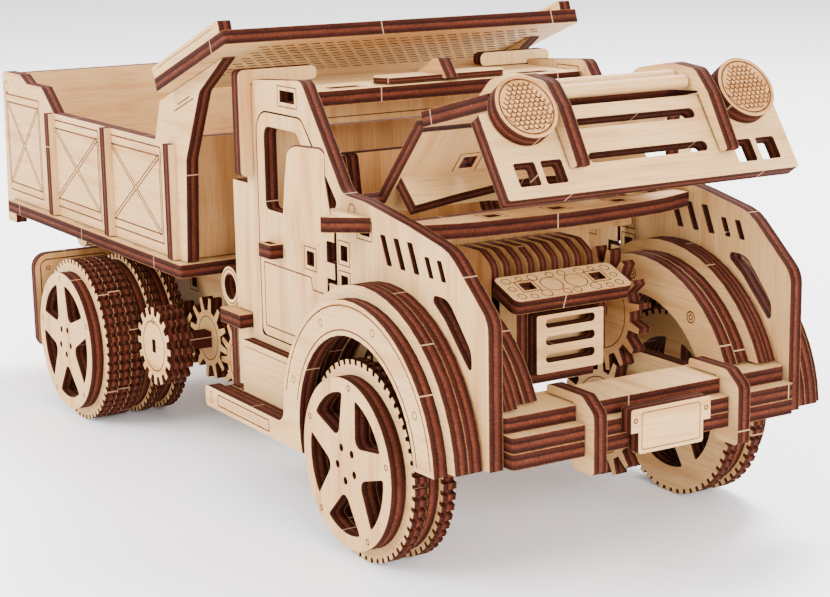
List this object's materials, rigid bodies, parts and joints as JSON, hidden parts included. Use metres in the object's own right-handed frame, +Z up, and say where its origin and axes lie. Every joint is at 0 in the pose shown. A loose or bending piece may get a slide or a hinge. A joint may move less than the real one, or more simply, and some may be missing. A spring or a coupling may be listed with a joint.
{
  "type": "wooden model tipper truck",
  "caption": "Laser-cut plywood construction-kit dump truck: open hood, hinged doors, tipping slotted-canopy bed, swinging tailgate, toothed-sheet wheels and a winding gear train.",
  "frame": {"origin": "middle of the overall box, on the ground under the wheels", "axes": "+X forward, +Y to the truck's left, +Z up"},
  "size_m": [0.254, 0.1112, 0.1075],
  "materials": {
    "arch_liner_left": "bare laser-cut birch plywood, matte face with burnt edges",
    "arch_liner_right": "bare laser-cut birch plywood, matte face with burnt edges",
    "bed_floor": "bare laser-cut birch plywood, matte face with burnt edges",
    "bed_side_left": "bare laser-cut birch plywood, matte face with burnt edges",
    "bed_side_right": "bare laser-cut birch plywood, matte face with burnt edges",
    "bumper": "bare laser-cut birch plywood, matte face with burnt edges",
    "bumper_clamp_left": "bare laser-cut birch plywood, matte face with burnt edges",
    "bumper_clamp_right": "bare laser-cut birch plywood, matte face with burnt edges",
    "cab_back": "bare laser-cut birch plywood, matte face with burnt edges",
    "cab_bulkhead": "bare laser-cut birch plywood, matte face with burnt edges",
    "cab_floor": "bare laser-cut birch plywood, matte face with burnt edges",
    "cab_side_left": "bare laser-cut birch plywood, matte face with burnt edges",
    "cab_side_right": "bare laser-cut birch plywood, matte face with burnt edges",
    "canopy": "bare laser-cut birch plywood, matte face with burnt edges",
    "chassis_rail_left": "bare laser-cut birch plywood, matte face with burnt edges",
    "chassis_rail_right": "bare laser-cut birch plywood, matte face with burnt edges",
    "cowl": "bare laser-cut birch plywood, matte face with burnt edges",
    "door_left": "bare laser-cut birch plywood, matte face with burnt edges",
    "door_right": "bare laser-cut birch plywood, matte face with burnt edges",
    "engine_block": "bare laser-cut birch plywood, matte face with burnt edges",
    "engine_gear": "bare laser-cut birch plywood, matte face with burnt edges",
    "fender_left": "bare laser-cut birch plywood, matte face with burnt edges",
    "fender_right": "bare laser-cut birch plywood, matte face with burnt edges",
    "firewall": "bare laser-cut birch plywood, matte face with burnt edges",
    "front_axle": "bare laser-cut birch plywood, matte face with burnt edges",
    "front_wheel_left": "bare laser-cut birch plywood, matte face with burnt edges",
    "front_wheel_right": "bare laser-cut birch plywood, matte face with burnt edges",
    "grille_rod_lower": "bare laser-cut birch plywood, matte face with burnt edges",
    "grille_rod_upper": "bare laser-cut birch plywood, matte face with burnt edges",
    "headboard": "bare laser-cut birch plywood, matte face with burnt edges",
    "headlamp_left": "bare laser-cut birch plywood, matte face with burnt edges",
    "headlamp_right": "bare laser-cut birch plywood, matte face with burnt edges",
    "hood_front_plate": "bare laser-cut birch plywood, matte face with burnt edges",
    "hood_grille": "bare laser-cut birch plywood, matte face with burnt edges",
    "hood_rear_plate": "bare laser-cut birch plywood, matte face with burnt edges",
    "hood_rib_left": "bare laser-cut birch plywood, matte face with burnt edges",
    "hood_rib_right": "bare laser-cut birch plywood, matte face with burnt edges",
    "idler_gear": "bare laser-cut birch plywood, matte face with burnt edges",
    "mirror_left": "bare laser-cut birch plywood, matte face with burnt edges",
    "mirror_right": "bare laser-cut birch plywood, matte face with burnt edges",
    "motor_gear": "bare laser-cut birch plywood, matte face with burnt edges",
    "mudflap_left": "bare laser-cut birch plywood, matte face with burnt edges",
    "mudflap_right": "bare laser-cut birch plywood, matte face with burnt edges",
    "number_plate": "bare laser-cut birch plywood, matte face with burnt edges",
    "radiator": "bare laser-cut birch plywood, matte face with burnt edges",
    "rear_axle": "bare laser-cut birch plywood, matte face with burnt edges",
    "rear_cross_member": "bare laser-cut birch plywood, matte face with burnt edges",
    "rear_wheel_left": "bare laser-cut birch plywood, matte face with burnt edges",
    "rear_wheel_right": "bare laser-cut birch plywood, matte face with burnt edges",
    "roof": "bare laser-cut birch plywood, matte face with burnt edges",
    "roof_deflector": "bare laser-cut birch plywood, matte face with burnt edges",
    "roof_hoop_left": "bare laser-cut birch plywood, matte face with burnt edges",
    "roof_hoop_right": "bare laser-cut birch plywood, matte face with burnt edges",
    "running_board_left": "bare laser-cut birch plywood, matte face with burnt edges",
    "running_board_right": "bare laser-cut birch plywood, matte face with burnt edges",
    "seat": "bare laser-cut birch plywood, matte face with burnt edges",
    "tailgate": "bare laser-cut birch plywood, matte face with burnt edges",
    "valve_cover": "bare laser-cut birch plywood, matte face with burnt edges",
    "winding_knob": "bare laser-cut birch plywood, matte face with burnt edges",
    "winding_shaft": "bare laser-cut birch plywood, matte face with burnt edges"
  },
  "bodies": {
    "chassis": {"arch_liner_left": "arch_liner_left", "arch_liner_right": "arch_liner_right", "bumper": "bumper", "bumper_clamp_left": "bumper_clamp_left", "bumper_clamp_right": "bumper_clamp_right", "cab_back": "cab_back", "cab_bulkhead": "cab_bulkhead", "cab_floor": "cab_floor", "cab_side_left": "cab_side_left", "cab_side_right": "cab_side_right", "chassis_rail_left": "chassis_rail_left", "chassis_rail_right": "chassis_rail_right", "cowl": "cowl", "engine_block": "engine_block", "fender_left": "fender_left", "fender_right": "fender_right", "firewall": "firewall", "mirror_left": "mirror_left", "mirror_right": "mirror_right", "mudflap_left": "mudflap_left", "mudflap_right": "mudflap_right", "number_plate": "number_plate", "radiator": "radiator", "rear_cross_member": "rear_cross_member", "roof": "roof", "roof_deflector": "roof_deflector", "roof_hoop_left": "roof_hoop_left", "roof_hoop_right": "roof_hoop_right", "running_board_left": "running_board_left", "running_board_right": "running_board_right", "seat": "seat", "valve_cover": "valve_cover"},
    "front_axle_body": {"front_axle": "front_axle", "front_wheel_left": "front_wheel_left", "front_wheel_right": "front_wheel_right"},
    "engine_gear_body": {"engine_gear": "engine_gear"},
    "rear_axle_body": {"rear_axle": "rear_axle", "rear_wheel_left": "rear_wheel_left", "rear_wheel_right": "rear_wheel_right"},
    "idler_body": {"idler_gear": "idler_gear"},
    "winding_body": {"winding_shaft": "winding_shaft", "winding_knob": "winding_knob"},
    "motor_body": {"motor_gear": "motor_gear"},
    "bed_body": {"bed_floor": "bed_floor", "bed_side_left": "bed_side_left", "bed_side_right": "bed_side_right", "headboard": "headboard", "canopy": "canopy"},
    "tailgate_body": {"tailgate": "tailgate"},
    "hood_body": {"hood_rear_plate": "hood_rear_plate", "hood_front_plate": "hood_front_plate", "hood_grille": "hood_grille", "hood_rib_left": "hood_rib_left", "hood_rib_right": "hood_rib_right", "headlamp_left": "headlamp_left", "headlamp_right": "headlamp_right", "grille_rod_lower": "grille_rod_lower", "grille_rod_upper": "grille_rod_upper"},
    "door_body_right": {"door_right": "door_right"},
    "door_body_left": {"door_left": "door_left"}
  },
  "joints": [
    {"name": "rear_axle_spin", "type": "hinge", "parent": "chassis", "child": "rear_axle_body", "pos_m": [-0.05249, 0, 0.021], "axis": [0, 1, 0], "continuous": true},
    {"name": "idler_spin", "type": "hinge", "parent": "chassis", "child": "idler_body", "pos_m": [-0.03682, 0, 0.02265], "axis": [0, 1, 0], "continuous": true},
    {"name": "winding_spin", "type": "hinge", "parent": "chassis", "child": "winding_body", "pos_m": [-0.02116, 0, 0.0243], "axis": [0, 1, 0], "continuous": true},
    {"name": "motor_spin", "type": "hinge", "parent": "chassis", "child": "motor_body", "pos_m": [-0.00338, 0, 0.02148], "axis": [0, 1, 0], "continuous": true},
    {"name": "front_axle_spin", "type": "hinge", "parent": "chassis", "child": "front_axle_body", "pos_m": [0.08291, 0, 0.021], "axis": [0, 1, 0], "continuous": true},
    {"name": "engine_gear_spin", "type": "hinge", "parent": "chassis", "child": "engine_gear_body", "pos_m": [0.08291, 0, 0.045], "axis": [0, 1, 0], "continuous": true},
    {"name": "bed_tip", "type": "hinge", "parent": "chassis", "child": "bed_body", "pos_m": [-0.11249, 0, 0.038], "axis": [0, -1, 0], "range_deg": [0, 45]},
    {"name": "tailgate_swing", "type": "hinge", "parent": "bed_body", "child": "tailgate_body", "pos_m": [-0.12199, 0, 0.0806], "axis": [0, 1, 0], "range_deg": [0, 80]},
    {"name": "hood_lift", "type": "hinge", "parent": "chassis", "child": "hood_body", "pos_m": [0.07101, 0, 0.0706], "axis": [0, 1, 0], "range_deg": [-6, 34]},
    {"name": "door_right_swing", "type": "hinge", "parent": "chassis", "child": "door_body_right", "pos_m": [0.06181, -0.0371, 0.06], "axis": [0, 0, 1], "range_deg": [0, 45]},
    {"name": "door_left_swing", "type": "hinge", "parent": "chassis", "child": "door_body_left", "pos_m": [0.06181, 0.0371, 0.06], "axis": [0, 0, -1], "range_deg": [0, 45]}
  ],
  "couplings": [
    {"joint": "idler_spin", "follows": "rear_axle_spin", "ratio": -1.3333},
    {"joint": "winding_spin", "follows": "rear_axle_spin", "ratio": 1},
    {"joint": "motor_spin", "follows": "rear_axle_spin", "ratio": -1},
    {"joint": "engine_gear_spin", "follows": "front_axle_spin", "ratio": -1}
  ]
}
